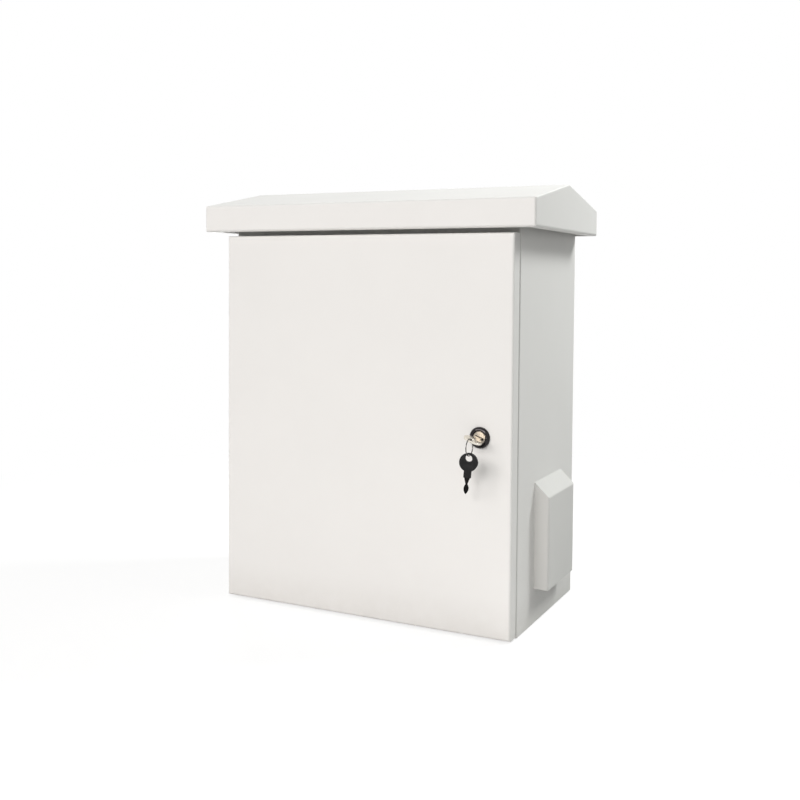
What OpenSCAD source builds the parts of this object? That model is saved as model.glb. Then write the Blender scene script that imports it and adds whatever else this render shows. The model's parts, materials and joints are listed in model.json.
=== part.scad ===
// Roadside utility cabinet of folded sheet steel, with a pitched roof, a hinged door and vent hoods.
// Millimetres, +Z up, the door faces -Y, and the origin is the middle of the body's base.

/* [Body] */
// Outside width of the body
body_w = 400; // [340:10:600]
// Outside depth of the body behind the door
body_d = 214; // [170:2:320]
// Height of the body up to its top panel
body_h = 500; // [420:10:800]
// Thickness of the sheet steel
sheet = 1.2; // [1:0.1:1.6]
// Inside radius of the folds
bend_r = 1.8; // [1.2:0.1:2.4]
// Width of the front return between the side wall and the rain lip
return_w = 22; // [20:1:28]
// Lap of each end panel's front flap on its plate
panel_lap = 5; // [3:0.5:8]
// Wall hole diameter
wall_hole_d = 9; // [7:0.5:12]
// Wall holes in from each side wall
wall_hole_inset = 20; // [16:1:30]
// Wall holes in from the base and from the top panel
wall_hole_end = 60; // [45:1:80]

/* [Roof] */
// Overhang of the roof past each side wall
roof_side = 29; // [22:1:45]
// Overhang of the roof past the door's face
roof_front = 10; // [6:1:20]
// Drop of the eave below the top panel
eave_drop = 17.5; // [15:0.5:20]
// Height of the upright fascia
fascia_h = 33.5; // [30:0.5:50]
// Rise of the ridge above the fascia
ridge_rise = 24.5; // [18:0.5:45]
// Width of the hem folded in under the eaves
hem_w = 12; // [8:1:16]
// Radius along the welded gable edges
gable_r = 2; // [1:0.1:2.4]
// Space left between the roof's rear fascia and the body's back
roof_fit = 0.3; // [0.2:0.1:1]
// Thickness of the roof brackets
bracket_t = 2; // [1.5:0.5:3]
// Length of the roof brackets
bracket_l = 150; // [120:5:160]
// Distance of each roof bracket from the middle
bracket_x = 120; // [90:5:150]
// Width of the brackets' flanges
flange_w = 26; // [22:1:32]
// Roof bolts in from the ends of the brackets
bolt_inset = 20; // [14:1:30]

/* [Door] */
// Depth of the folded door pan
door_t = 18; // [17:0.5:22]
// Gap between the door pan and the body
door_gap = 3; // [2.8:0.1:4]
// Height of the door's lower edge above the base
door_foot = 2; // [1:0.5:6]
// Distance of the door's upper edge below the top panel
door_head = 23; // [22:0.5:30]
// Width of the door seal
seal_w = 10; // [8:0.5:10]
// Thickness of the door seal as it is squeezed
seal_t = 7; // [5:0.5:8]
// Space left between the seal and the rain lip
seal_fit = 0.3; // [0.2:0.1:0.6]
// Radius of the seal's inner corners
seal_r = 1; // [0.5:0.5:4]
// Space left between the seal and the hinge brackets
seal_gap = 0.6; // [0.4:0.1:1]

/* [Hinges] */
// Hinge axis in from the door's outer edge
hinge_inset = 5; // [4.8:0.1:5.2]
// Hinge axis in front of the pan's rear edge
hinge_set = 4; // [3.6:0.1:4.2]
// Height of a hinge bracket
hinge_h = 46; // [36:1:60]
// Hinge bracket centres in from the door's upper and lower edges
hinge_end = 78; // [60:1:110]
// Diameter of the hinge pin
pin_d = 4; // [3.5:0.1:4.2]
// Radial running clearance of the pin in the body leaf
pin_fit = 0.06; // [0.02:0.01:0.09]
// Radial clearance of the pin in the ears of the bracket
ear_fit = 0.02; // [0.01:0.01:0.05]
// Height of the pin's head
pin_head_h = 1.6; // [1:0.1:2]
// Play between the body leaf and each ear
hinge_play = 0.4; // [0.2:0.1:0.8]
// Outside radius of the hinge knuckle
knuckle_r = 3.3; // [3.1:0.1:3.4]
// Thickness of the hinge strip
leaf_t = 2; // [1.6:0.1:2.2]
// Inside radius of the hinge strip's bends
leaf_bend_r = 0.6; // [0.4:0.1:0.8]
// Distance from the hinge axis to the middle of the body leaf's arm
arm_reach = 8; // [7.8:0.1:8.4]

/* [Lock] */
// Lock axis in from the door's right edge
lock_edge = 40; // [38:0.5:60]
// Lock axis below the middle of the door
lock_drop = 1.2; // [0:0.1:20]
// Radius of the lock's bezel
bezel_r = 12.5; // [11:0.5:14]
// Height of the bezel in front of the door
bezel_h = 3.5; // [2.5:0.5:5]
// Radius of the lock body behind the door
barrel_r = 9.5; // [9.2:0.1:10]
// Width across the flats of the lock body
barrel_flats = 17; // [16:0.5:18]
// Radius of the turning plug
plug_r = 7.5; // [7:0.1:7.8]
// Radial running clearance of the plug
plug_fit = 0.05; // [0.02:0.01:0.09]
// Depth of the plug's face below the bezel
plug_sink = 0.5; // [0.2:0.1:1]
// Radial wall of the lock's nut
lock_nut_wall = 1.6; // [1.2:0.1:2]
// Height of the lock's nut
lock_nut_h = 5; // [4:0.5:6]
// Width of the square that drives the cam
drive_w = 7; // [6:0.5:8]
// Clearance of the cam on its square
drive_fit = 0.1; // [0.05:0.05:0.2]
// Lap of the cam behind the front return when it locks
cam_bite = 10; // [6:1:12]
// Play between the cam and the front return
cam_play = 0.8; // [0.6:0.1:1.5]
// Space left between the lock body and the cam
barrel_gap = 0.8; // [0.5:0.1:1]
// Width of the cam
cam_w = 16; // [13:0.5:18]
// Thickness of the cam
cam_t = 2.5; // [2:0.5:4]
// Corner radius of the cam
cam_end_r = 6; // [4:0.5:6.4]
// Diameter of the cam's screw
cam_screw_d = 4; // [3:0.5:4]
// Reach of the cam's screw into the plug
cam_screw_in = 3; // [2:0.5:3]
// Height of the cam screw's head
cam_head_h = 3; // [2:0.5:4]

/* [Keys] */
// Radius of the key's bow
bow_r = 11; // [10.5:0.5:12]
// Radius of the holes in the bow and in the spare key's head
bow_hole_r = 4.2; // [4.1:0.1:4.4]
// Width of the rim between a hole and the end of its key
bow_rim = 1.8; // [1.5:0.1:2.5]
// Depth that the bow sinks into its collar
bow_join = 1.4; // [1:0.1:2]
// Length of the key's collar
collar_l = 8.4; // [7:0.2:10]
// Width of the key's collar
collar_w = 8.4; // [7.6:0.1:9]
// Length of the key's blade
blade_l = 19; // [17.5:0.5:20]
// Width of the blade's shoulder below the collar
shoulder_w = 6.8; // [6.2:0.1:7.4]
// Width at which the blade's taper ends, inside the leaf
waist_w = 1.8; // [1.5:0.1:2.2]
// Distance from the collar to the end of the taper
waist_at = 8; // [7.5:0.1:8.5]
// Width of the blade's leaf
leaf_w = 5.6; // [5:0.1:6]
// Length of the leaf
leaf_l = 12.5; // [12:0.1:13]
// Thickness of the key's metal
key_t = 2.2; // [1.8:0.1:2.4]
// Width of the keyway
keyway_w = 11; // [10:0.5:12]
// Play of the key's metal in the keyway, on each face
keyway_play = 0.2; // [0.1:0.1:0.4]
// Space left between the collar and the plug's face
collar_gap = 0.3; // [0.2:0.1:1]
// Radius of the spare key's moulded head
head_r = 10.7; // [10.4:0.1:11]
// Thickness of the spare key's moulded head
head_t = 4.5; // [4:0.1:5]
// Width of the sunk field on each face of the head
field_w = 14; // [10:0.5:15]
// Height of the sunk field
field_h = 4.6; // [3:0.2:5]
// Depth of the sunk field
field_d = 0.4; // [0.2:0.1:0.8]
// Width of the blade's tang inside the head
tang_w = 5.2; // [4.5:0.1:5.4]
// Length of the tang
tang_l = 6; // [4:0.5:6]
// Slope of the keyway from level, down to the right
key_tilt = 22; // [0:1:25]
// Shift of the ring towards the lower side of the sloping bow
ring_side = 0.2; // [0:0.1:0.5]
// Shift of the ring's wire towards the door, from the middle of the hole
ring_in = 0.7; // [0.5:0.1:0.9]
// Turn of the spare key towards the right
spare_turn = 12; // [0:1:15]
// Lean of the spare key, with its tip to the left
spare_lean = 5; // [0:1:10]
// Mean radius of the key ring
ring_r = 9.6; // [9:0.1:10.5]
// Diameter of the ring's wire
wire_d = 1.4; // [1:0.1:1.6]
// Space left between the ring and the bow
ring_gap = 0.9; // [0.8:0.05:0.95]
// Space left between the ring and the spare key
hang_gap = 0.8; // [0.7:0.1:0.9]

/* [Vents] */
// Width of a vent hood
hood_w = 102; // [98:1:120]
// Depth of a vent hood out from the wall
hood_out = 18.7; // [14:0.1:30]
// Height of the hood's open lower edge above the base
hood_foot = 43.4; // [30:0.2:80]
// Height of the hood's upright face
hood_face_h = 114; // [108:1:150]
// Rise of the hood's sloping top
hood_rise = 17.8; // [10:0.2:30]
// Shift of the hoods towards the back
hood_shift = 3; // [0:1:12]
// Side of the square vent window in the wall
window = 76; // [60:1:78]
// Lap of the vent screen over the edge of the window
screen_lap = 9; // [8:0.5:10]
// Thickness of the vent screen
screen_t = 1; // [0.8:0.1:1.5]
// Width of a slot in the vent screen
slot_w = 4.5; // [3:0.5:6]
// Distance between the slots of the vent screen
slot_pitch = 8.5; // [7.5:0.5:12]
// Diameter of a vent rivet
rivet_d = 3.2; // [2.8:0.2:4]
// Radial clearance of the rivets
rivet_fit = 0.05; // [0.02:0.01:0.1]
// Distance of the slots' ends in from the window's edge
slot_end = 3; // [2:0.5:6]
// Corner radius of the vent screen
screen_r = 3; // [2:0.5:4]

/* [Inside] */
// Distance of the mounting plate from the back wall
standoff = 15; // [10:1:25]
// Thickness of the mounting plate
plate_t = 1.5; // [1.2:0.1:3]
// Space from the mounting plate to each side wall
plate_side = 34; // [30:1:50]
// Space from the mounting plate to the base and to the top panel
plate_end = 55; // [45:1:80]
// Studs in from the edges of the mounting plate
stud_inset = 15; // [12:1:25]
// Diameter of the mounting studs
stud_d = 8; // [6:1:8]
// Radial width of the studs' shoulders
stud_shoulder = 2; // [1.5:0.5:3]
// Radial room of the studs in the mounting plate
stud_play = 0.5; // [0.3:0.1:0.8]
// Corner radius of the mounting plate
plate_r = 6; // [4:1:8]
// Diameter of the earth studs
earth_d = 6; // [5:1:8]
// Distance of the body's earth stud behind the front
earth_back = 32; // [25:1:40]
// Height of both earth studs above the base
earth_z = 45; // [40:1:50]
// Length of the body's earth stud
earth_l = 18; // [12:1:22]
// Length of the door's earth stud
door_earth_l = 13; // [10:1:15]
// Distance of the door's earth stud in from the lock axis
door_earth_in = 10; // [5:1:20]
// Thickness of the earth studs' flanges
stud_flange_t = 1.2; // [1:0.1:2]

/* [Fasteners] */
// Diameter of the roof bolts
bolt_d = 6; // [5:1:6]
// Height of the roof bolts' heads
bolt_head_h = 4; // [3:0.5:5]
// Width across the flats of a nut or a head, for each millimetre of thread
hex_share = 1.65; // [1.55:0.05:1.7]
// Height of a nut, for each millimetre of thread
nut_share = 0.8; // [0.7:0.05:0.9]
// Diameter of a washer or a stud's flange, for each millimetre of thread
washer_share = 2.1; // [1.9:0.1:2.2]
// Thickness of a washer
washer_t = 1.5; // [1:0.1:2]
// Length of thread that shows past a nut
thread_end = 2; // [1:0.5:3]
// Radial clearance round the threads
nut_fit = 0.1; // [0.05:0.05:0.2]
// Diameter of the entry plate's screws
entry_screw_d = 4; // [3:0.5:4]
// Height of the entry screws' heads
screw_head_h = 2.4; // [2:0.2:3]
// Height of the entry screws' ends above the base
screw_tip = 0.2; // [0.1:0.1:0.5]

/* [Cable entry] */
// Length of the cable entry plate
entry_w = 220; // [200:5:300]
// Depth of the cable entry plate
entry_d = 90; // [80:2:120]
// Lap of the cable entry plate over the cut-out in the base
entry_lap = 12; // [11:1:16]
// Thickness of the cable entry plate and of its seal
entry_t = 1.5; // [1.2:0.1:2]
// Radius of a cable passage through a grommet
cable_r = 11; // [8:0.5:12]
// Thickness of the rubber round a cable passage
grommet_wall = 2; // [1.5:0.5:3]
// Reach of a grommet's flanges over the plate
grommet_lap = 4; // [3:0.5:5]
// Distance between the grommets
grommet_pitch = 60; // [50:1:65]
// Height of a grommet above the plate
grommet_h = 3; // [2:0.5:5]
// Rounding of a grommet's upper rim
grommet_r = 1.5; // [0.5:0.5:2]
// Corner radius of the entry plate, its seal and the cut-out
entry_r = 4; // [2:0.5:6]

/* [Hidden] */
$fn = 64;

paint = [0.90, 0.89, 0.87];
zinc = [0.70, 0.71, 0.72];
rubber = [0.08, 0.08, 0.08];
bright = [0.78, 0.78, 0.80];
brass = [0.80, 0.74, 0.58];
steel = [0.16, 0.16, 0.16];

half_w = body_w / 2;
half_t = sheet / 2;
fold_r = bend_r + sheet;
front_y = -body_d / 2;
back_y = body_d / 2;
door_rear_y = front_y - door_gap;
door_front_y = door_rear_y - door_t;
door_inner_y = door_front_y + sheet;
door_low = door_foot;
door_high = body_h - door_head;

// The rain lip stands on the inner edge of the front return, all round the opening
lip_x = half_w - return_w;
lip_low = door_low + return_w;
lip_high = door_high - return_w;
lip_tip_y = door_inner_y + seal_t + seal_fit;
return_x = lip_x + sheet + bend_r;

roof_x = half_w + roof_side;
roof_front_y = door_front_y - roof_front;
roof_back_y = back_y + roof_fit + sheet;
eave_z = body_h - eave_drop;
fascia_z = eave_z + fascia_h;
ridge_y = (roof_front_y + roof_back_y) / 2;
ridge_z = fascia_z + ridge_rise;
roof_slope = atan2(ridge_rise, ridge_y - roof_front_y);
slope_drop = sheet / cos(roof_slope);

hinge_x = -half_w + hinge_inset;
hinge_y = door_rear_y - hinge_set;
hinge_low = door_low + hinge_end;
hinge_high = door_high - hinge_end;

lock_x = half_w - lock_edge;
lock_z = (door_low + door_high) / 2 - lock_drop;
plug_face = plug_sink - bezel_h;
cam_seat = front_y + sheet - door_front_y + cam_play;
cam_l = lock_edge - return_w + cam_bite;

// The ring hangs over the end of the bow, and its wire passes through the hole
key_stop = plug_face - collar_gap;
wire_r = wire_d / 2;
ring_lift = key_t / 2 / cos(key_tilt) + ring_gap + wire_r;
ring_reach = sqrt(ring_r * ring_r - pow(ring_r - ring_lift, 2));
ring_x = lock_x + ring_side * cos(key_tilt);
ring_y = door_front_y + key_stop + hole_mid(bow_r) + ring_in - ring_reach;
ring_z = lock_z - ring_side * sin(key_tilt) + ring_lift - ring_r;
spare_hang = bow_hole_r - wire_r - hang_gap;

hood_top = hood_foot + hood_face_h;
vent_z = hood_foot + hood_face_h / 2;
screen_w = window + 2 * screen_lap;
rivet_off = window / 2 + screen_lap / 2;

plate_y = back_y - sheet - standoff;
stud_x = half_w - sheet - plate_side - stud_inset;
stud_low = plate_end + stud_inset;
stud_high = body_h - plate_end - stud_inset;
bolt_y = bracket_l / 2 - bolt_inset;
entry_z = sheet + entry_t;

function unit(v) = v / norm(v);
function turn_of(a, b) = atan2(a.x * b.y - a.y * b.x, a * b);
function bow_mid(r) = bow_join - collar_l - r;
function hole_mid(r) = bow_mid(r) - r + bow_rim + bow_hole_r;

// Convex outline with true arcs at its corners, points running anticlockwise
module rounded_outline(points, radii) {
    last = len(points) - 1;
    back = [for (i = [0:last]) unit(points[i > 0 ? i - 1 : last] - points[i])];
    ahead = [for (i = [0:last]) unit(points[i < last ? i + 1 : 0] - points[i])];
    half = [for (i = [0:last]) acos(back[i] * ahead[i]) / 2];
    cut = [for (i = [0:last]) radii[i] / tan(half[i])];
    polygon([for (i = [0:last]) each (radii[i] > 0
        ? [points[i] + back[i] * cut[i], points[i] + ahead[i] * cut[i]]
        : [points[i]])]);
    for (i = [0:last])
        if (radii[i] > 0) {
            mid = points[i] + unit(back[i] + ahead[i]) * radii[i] / sin(half[i]);
            intersection() {
                translate(mid)
                    circle(radii[i]);
                polygon([mid, points[i] + back[i] * cut[i], points[i], points[i] + ahead[i] * cut[i]]);
            }
        }
}

module rounded_rect(low, high, radii) {
    rounded_outline([low, [high.x, low.y], high, [low.x, high.y]], radii);
}

// Section of a folded strip, from the points of its middle line and its inside bend radius
module folded_strip(path, t, r) {
    last = len(path) - 1;
    mid_r = r + t / 2;
    lead = [for (i = [0:last - 1]) unit(path[i + 1] - path[i])];
    turn = [for (i = [0:last]) i == 0 || i == last ? 0 : turn_of(lead[i - 1], lead[i])];
    trim = [for (i = [0:last]) mid_r * tan(abs(turn[i]) / 2)];
    for (i = [0:last - 1])
        translate(path[i] + lead[i] * trim[i])
            rotate(atan2(lead[i].y, lead[i].x))
                translate([0, -t / 2])
                    square([norm(path[i + 1] - path[i]) - trim[i] - trim[i + 1], t]);
    for (i = [1:1:last - 1]) {
        from = path[i] - lead[i - 1] * trim[i];
        to = path[i] + lead[i] * trim[i];
        mid = from + sign(turn[i]) * mid_r * [-lead[i - 1].y, lead[i - 1].x];
        intersection() {
            translate(mid)
                difference() {
                    circle(r + t);
                    circle(r);
                }
            polygon([mid, mid + 2 * (from - mid), mid + 2 * (path[i] - mid), mid + 2 * (to - mid)]);
        }
    }
}

// Prisms that stand on an outline drawn in plan, in the side view or in the front view
module plan_prism(low, high) {
    translate([0, 0, low])
        linear_extrude(high - low)
            children();
}

module side_prism(low, high) {
    translate([low, 0, 0])
        rotate([90, 0, 90])
            linear_extrude(high - low)
                children();
}

module front_prism(low, high) {
    translate([0, high, 0])
        rotate([90, 0, 0])
            linear_extrude(high - low)
                children();
}

module both_sides() {
    children();
    mirror([1, 0, 0])
        children();
}

module four_corners(x, y) {
    for (i = [-1, 1])
        for (j = [-1, 1])
            translate([i * x, j * y, 0])
                children();
}

module hex_bar(across, height) {
    cylinder(r = across / 2 / cos(30), h = height, $fn = 6);
}

module hex_nut(across, height, hole_r) {
    difference() {
        hex_bar(across, height);
        translate([0, 0, -1])
            cylinder(r = hole_r, h = height + 2);
    }
}

module thread_nut(d) {
    hex_nut(hex_share * d, nut_share * d, d / 2 + nut_fit);
}

module inner_plan() {
    rounded_rect([-half_w + sheet, front_y + sheet], [half_w - sheet, back_y - sheet],
        [bend_r, bend_r, bend_r, bend_r]);
}

wrap_half = [
    [lip_x + half_t, lip_tip_y], [lip_x + half_t, front_y + half_t],
    [half_w - half_t, front_y + half_t], [half_w - half_t, back_y - half_t]
];
wrap_path = concat(wrap_half, [for (i = [3:-1:0]) [-wrap_half[i].x, wrap_half[i].y]]);

module wall_holes() {
    for (z = [wall_hole_end, body_h - wall_hole_end])
        both_sides()
            translate([half_w - wall_hole_inset, back_y + 1, z])
                rotate([90, 0, 0])
                    cylinder(d = wall_hole_d, h = sheet + 2);
}

module rivet_holes(depth) {
    four_corners(rivet_off, rivet_off)
        cylinder(d = rivet_d + 2 * rivet_fit, h = depth, center = true);
}

// Turns children so that their Z axis points out of the right wall, at the middle of its vent
module at_vent() {
    translate([half_w, hood_shift, vent_z])
        rotate([90, 0, 90])
            children();
}

module body_wrap() {
    color(paint)
        difference() {
            plan_prism(0, body_h)
                folded_strip(wrap_path, sheet, bend_r);
            both_sides()
                for (span = [[-1, lip_low - sheet], [lip_high + sheet, body_h + 1]])
                    translate([lip_x - 1, lip_tip_y - 1, span[0]])
                        cube([return_x - lip_x + 1, front_y + sheet + 2 - lip_tip_y, span[1] - span[0]]);
            both_sides()
                at_vent() {
                    cube([window, window, 4 * sheet], center = true);
                    rivet_holes(4 * sheet);
                }
            wall_holes();
        }
}

// A welded end panel: a flat plate, and a front return that carries the lip across the opening
module end_panel(plate_low, path, notch_low, notch_high) {
    flap_y = front_y + sheet + bend_r;
    difference() {
        union() {
            difference() {
                plan_prism(plate_low, plate_low + sheet)
                    inner_plan();
                translate([-return_x, front_y - 1, plate_low - 1])
                    cube([2 * return_x, flap_y - front_y + 1, sheet + 2]);
            }
            side_prism(-return_x, return_x)
                folded_strip(path, sheet, bend_r);
        }
        both_sides()
            translate([lip_x, lip_tip_y - 1, notch_low])
                cube([return_x - lip_x + 1, flap_y - lip_tip_y, notch_high - notch_low]);
    }
}

module top_panel() {
    path = [
        [front_y + sheet + bend_r + panel_lap, body_h - half_t], [front_y + half_t, body_h - half_t],
        [front_y + half_t, lip_high + half_t], [lip_tip_y, lip_high + half_t]
    ];
    color(paint)
        difference() {
            end_panel(body_h - sheet, path, lip_high - 1, lip_high + sheet);
            at_roof_bolts()
                translate([0, 0, -sheet - 1])
                    cylinder(d = bolt_d + 2 * nut_fit, h = sheet + 2);
        }
}

module base_panel() {
    path = [
        [front_y + sheet + bend_r + panel_lap, half_t], [front_y + half_t, half_t],
        [front_y + half_t, lip_low - half_t], [lip_tip_y, lip_low - half_t]
    ];
    color(paint)
        difference() {
            end_panel(0, path, lip_low - sheet, lip_low + 1);
            plan_prism(-1, sheet + 1)
                entry_window();
            at_entry_screws()
                cylinder(d = entry_screw_d + 2 * nut_fit, h = 4 * sheet, center = true);
        }
}

// Roof envelope, inset by the sheet thickness for the hollow inside
module roof_side_view(inset) {
    r = fold_r - inset;
    drop = inset * (1 / cos(roof_slope) - tan(roof_slope));
    rounded_outline([
        [roof_front_y + inset, eave_z + inset], [roof_back_y - inset, eave_z + inset],
        [roof_back_y - inset, fascia_z - drop], [ridge_y, ridge_z - inset / cos(roof_slope)],
        [roof_front_y + inset, fascia_z - drop]
    ], [r, 0, r, r, r]);
}

module roof_plan(inset) {
    r = fold_r - inset;
    rounded_rect([-roof_x + inset, roof_front_y + inset], [roof_x - inset, roof_back_y - inset],
        [r, r, r, r]);
}

module roof_front_view(inset) {
    r = fold_r - inset;
    rounded_rect([-roof_x + inset, eave_z + inset], [roof_x - inset, ridge_z + fascia_h], [r, r, 0, 0]);
}

// Bar along one slope whose upper edges round the gable
module gable_round() {
    reach = 2 * (roof_back_y - roof_front_y);
    front_prism(-reach, reach)
        rounded_rect([-roof_x, -reach], [roof_x, 0], [0, 0, gable_r, gable_r]);
}

module roof_cap() {
    color(paint)
        difference() {
            intersection() {
                side_prism(-roof_x, roof_x)
                    roof_side_view(0);
                plan_prism(eave_z - 1, ridge_z + 1)
                    roof_plan(0);
                front_prism(roof_front_y - 1, roof_back_y + 1)
                    roof_front_view(0);
                translate([0, roof_front_y, fascia_z])
                    rotate([roof_slope, 0, 0])
                        gable_round();
                translate([0, roof_back_y, fascia_z])
                    rotate([-roof_slope, 0, 0])
                        gable_round();
            }
            intersection() {
                side_prism(-roof_x, roof_x)
                    roof_side_view(sheet);
                plan_prism(eave_z - 1, ridge_z + 1)
                    roof_plan(sheet);
                front_prism(roof_front_y - 1, roof_back_y + 1)
                    roof_front_view(sheet);
            }
            translate([-roof_x + hem_w, roof_front_y + hem_w, eave_z - 1])
                cube([2 * (roof_x - hem_w), roof_back_y - sheet - roof_front_y - hem_w, sheet + 2]);
        }
}

module at_roof_bolts() {
    translate([0, 0, body_h])
        four_corners(bracket_x, bolt_y)
            children();
}

// Gusset under the roof: a flange on the top panel and a web cut to the slopes
module roof_bracket(side) {
    web_x = bracket_x - flange_w / 2;
    peak = ridge_z - slope_drop;
    fall = tan(roof_slope);
    color(zinc)
        mirror([side < 0 ? 1 : 0, 0, 0])
            difference() {
                union() {
                    front_prism(-bracket_l / 2, bracket_l / 2)
                        folded_strip([
                            [web_x + flange_w, body_h + bracket_t / 2],
                            [web_x - bracket_t / 2, body_h + bracket_t / 2],
                            [web_x - bracket_t / 2, body_h + 4 * bracket_t]
                        ], bracket_t, bracket_t / 2);
                    side_prism(web_x - bracket_t, web_x)
                        polygon([
                            [-bracket_l / 2, body_h + 2 * bracket_t], [bracket_l / 2, body_h + 2 * bracket_t],
                            [bracket_l / 2, peak - fall * (bracket_l / 2 - ridge_y)], [ridge_y, peak],
                            [-bracket_l / 2, peak - fall * (bracket_l / 2 + ridge_y)]
                        ]);
                }
                translate([0, 0, body_h - 1])
                    for (y = [-bolt_y, bolt_y])
                        translate([bracket_x, y, 0])
                            cylinder(d = bolt_d + 2 * nut_fit, h = bracket_t + 2);
            }
}

module roof_bolts() {
    color(zinc)
        at_roof_bolts()
            translate([0, 0, -sheet]) {
                translate([0, 0, -bolt_head_h])
                    hex_bar(hex_share * bolt_d, bolt_head_h);
                cylinder(d = bolt_d, h = sheet + bracket_t + nut_share * bolt_d + thread_end);
            }
}

module roof_nuts() {
    color(zinc)
        at_roof_bolts()
            translate([0, 0, bracket_t])
                thread_nut(bolt_d);
}

// Hood envelope on the right wall, inset by the sheet thickness for its inside
module hood_envelope(inset) {
    steep = hood_rise / hood_out;
    drop = inset * sqrt(1 + steep * steep);
    r = fold_r - inset;
    out = hood_out - inset;
    wall = inset > 0 ? -1 : 0;
    foot = hood_foot - (inset > 0 ? 1 : 0);
    half = hood_w / 2 - inset;
    translate([half_w, hood_shift, 0])
        intersection() {
            front_prism(-half, half)
                rounded_outline([
                    [wall, foot], [out, foot], [out, hood_top + inset * steep - drop],
                    [wall, hood_top + (hood_out - wall) * steep - drop]
                ], [0, 0, r, 0]);
            plan_prism(foot, hood_top + 2 * hood_rise)
                rounded_rect([wall, -half], [out, half], [0, r, r, 0]);
        }
}

module vent_hood(side) {
    color(paint)
        mirror([side < 0 ? 1 : 0, 0, 0])
            difference() {
                hood_envelope(0);
                hood_envelope(sheet);
            }
}

// Slotted plate riveted on the inside of the wall, over the vent window
module vent_screen(side) {
    rows = floor((window - slot_w) / slot_pitch / 2);
    slot_half = window / 2 - slot_end;
    round_r = slot_w * 0.48;
    color(zinc)
        mirror([side < 0 ? 1 : 0, 0, 0])
            at_vent()
                translate([0, 0, -sheet - screen_t])
                    difference() {
                        linear_extrude(screen_t)
                            rounded_rect([-screen_w, -screen_w] / 2, [screen_w, screen_w] / 2,
                                [screen_r, screen_r, screen_r, screen_r]);
                        for (i = [-rows:rows])
                            translate([0, i * slot_pitch, -1])
                                linear_extrude(screen_t + 2)
                                    rounded_rect([-slot_half, -slot_w / 2], [slot_half, slot_w / 2],
                                        [round_r, round_r, round_r, round_r]);
                        rivet_holes(4 * screen_t);
                    }
}

module vent_rivets() {
    head_r = rivet_d;
    head_h = rivet_d * 0.4;
    color(zinc)
        both_sides()
            at_vent()
                four_corners(rivet_off, rivet_off) {
                    translate([0, 0, -sheet - screen_t])
                        cylinder(d = rivet_d, h = sheet + screen_t);
                    translate([0, 0, -sheet - screen_t - head_h])
                        cylinder(r1 = head_r * 0.6, r2 = head_r, h = head_h);
                    cylinder(r = rivet_d * 0.8, h = head_h);
                }
}

// Places children on the four mounting studs, with Z pointing into the cabinet
module at_studs() {
    for (z = [stud_low, stud_high])
        for (x = [-stud_x, stud_x])
            translate([x, back_y - sheet, z])
                rotate([90, 0, 0])
                    children();
}

module mounting_plate() {
    plate_x = stud_x + stud_inset;
    color(zinc)
        difference() {
            front_prism(plate_y - plate_t, plate_y)
                rounded_rect([-plate_x, plate_end], [plate_x, body_h - plate_end],
                    [plate_r, plate_r, plate_r, plate_r]);
            at_studs()
                translate([0, 0, standoff - 1])
                    cylinder(r = stud_d / 2 + stud_play, h = plate_t + 2);
        }
}

module plate_studs() {
    color(bright)
        at_studs() {
            cylinder(r = stud_d / 2 + stud_shoulder, h = standoff);
            cylinder(d = stud_d, h = standoff + plate_t + washer_t + nut_share * stud_d + thread_end);
        }
}

module plate_nuts() {
    color(bright)
        at_studs()
            translate([0, 0, standoff + plate_t]) {
                difference() {
                    cylinder(d = washer_share * stud_d, h = washer_t);
                    translate([0, 0, -1])
                        cylinder(r = stud_d / 2 + nut_fit, h = washer_t + 2);
                }
                translate([0, 0, washer_t])
                    thread_nut(stud_d);
            }
}

module entry_outline(inset) {
    rounded_rect([-entry_w / 2 + inset, -entry_d / 2 + inset], [entry_w / 2 - inset, entry_d / 2 - inset],
        [entry_r, entry_r, entry_r, entry_r]);
}

module entry_window() {
    entry_outline(entry_lap);
}

module at_entry_screws() {
    four_corners((entry_w - entry_lap) / 2, (entry_d - entry_lap) / 2)
        children();
}

module entry_plate() {
    color(zinc)
        difference() {
            plan_prism(entry_z, entry_z + entry_t)
                entry_outline(0);
            for (i = [-1:1])
                translate([i * grommet_pitch, 0, entry_z - 1])
                    cylinder(r = cable_r + grommet_wall, h = entry_t + 2);
            at_entry_screws()
                translate([0, 0, entry_z - 1])
                    cylinder(d = entry_screw_d + 2 * nut_fit, h = entry_t + 2);
        }
}

module entry_seal() {
    color(rubber)
        plan_prism(sheet, entry_z)
            difference() {
                entry_outline(0);
                entry_window();
                at_entry_screws()
                    circle(d = entry_screw_d + 2 * nut_fit);
            }
}

module entry_screws() {
    seat_z = entry_z + entry_t;
    color(bright)
        at_entry_screws() {
            translate([0, 0, screw_tip])
                cylinder(d = entry_screw_d, h = seat_z - screw_tip);
            translate([0, 0, seat_z])
                rotate_extrude()
                    rounded_rect([0, 0], [entry_screw_d, screw_head_h], [0, 0, screw_head_h * 0.6, 0]);
        }
}

// Rubber ring whose groove holds the edge of the plate
module cable_grommet(place) {
    groove_r = cable_r + grommet_wall;
    rim_r = groove_r + grommet_lap;
    color(rubber)
        translate([place * grommet_pitch, 0, entry_z])
            rotate_extrude() {
                translate([cable_r, -entry_z])
                    square([grommet_wall + grommet_lap, entry_z]);
                translate([cable_r, 0])
                    square([grommet_wall, entry_t]);
                rounded_rect([cable_r, entry_t], [rim_r, entry_t + grommet_h], [0, 0, grommet_r, 0]);
            }
}

module stud(length, d) {
    cylinder(d = washer_share * d, h = stud_flange_t);
    cylinder(d = d, h = length);
}

// Places children on the earth studs: one in the left wall, one on the inside of the door
module at_body_earth() {
    translate([-half_w + sheet, front_y + earth_back, earth_z])
        rotate([0, 90, 0])
            children();
}

module at_door_earth() {
    translate([lock_x - door_earth_in, door_inner_y, earth_z])
        rotate([-90, 0, 0])
            children();
}

module earth_stud() {
    color(brass)
        at_body_earth()
            stud(earth_l, earth_d);
}

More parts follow.
